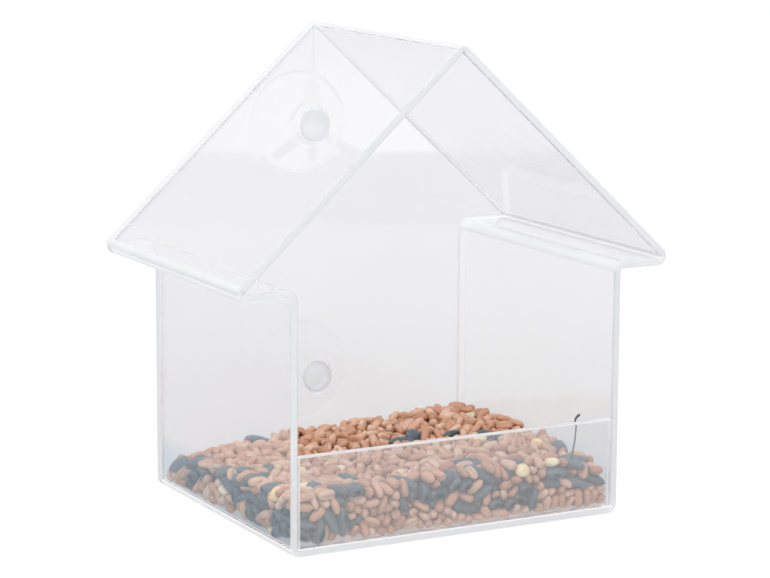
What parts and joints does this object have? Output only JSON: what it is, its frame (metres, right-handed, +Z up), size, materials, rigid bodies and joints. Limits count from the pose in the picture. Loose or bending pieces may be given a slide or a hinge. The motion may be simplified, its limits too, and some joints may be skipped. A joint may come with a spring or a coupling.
{
  "type": "window bird feeder",
  "caption": "Clear house-shaped bird feeder with an open front, a low sill that holds the seed, and soft suction cups in its back wall that stick to a window pane.",
  "frame": {"origin": "centre of the floor's underside, on the surface that the feeder stands on", "axes": "+Z up, -Y out of the open front, +Y towards the window pane, +X to the right seen from the front"},
  "size_m": [0.15, 0.11, 0.1515],
  "materials": {
    "clear_plastic": "clear, polished",
    "soft_pvc": "clear, soft and slightly blue",
    "seed_mix": "dry grain"
  },
  "bodies": {
    "house": {"house_shell": "clear_plastic", "front_sill": "clear_plastic", "seed_bed": "seed_mix"},
    "upper_cup": {"suction_cup_upper": "soft_pvc"},
    "lower_cup": {"suction_cup_lower": "soft_pvc"}
  },
  "joints": [
    {"name": "upper_cup_turn", "type": "hinge", "parent": "house", "child": "upper_cup", "pos_m": [0, 0.05, 0.116], "axis": [0, 1, 0], "continuous": true},
    {"name": "lower_cup_turn", "type": "hinge", "parent": "house", "child": "lower_cup", "pos_m": [0, 0.05, 0.0315], "axis": [0, 1, 0], "continuous": true}
  ]
}
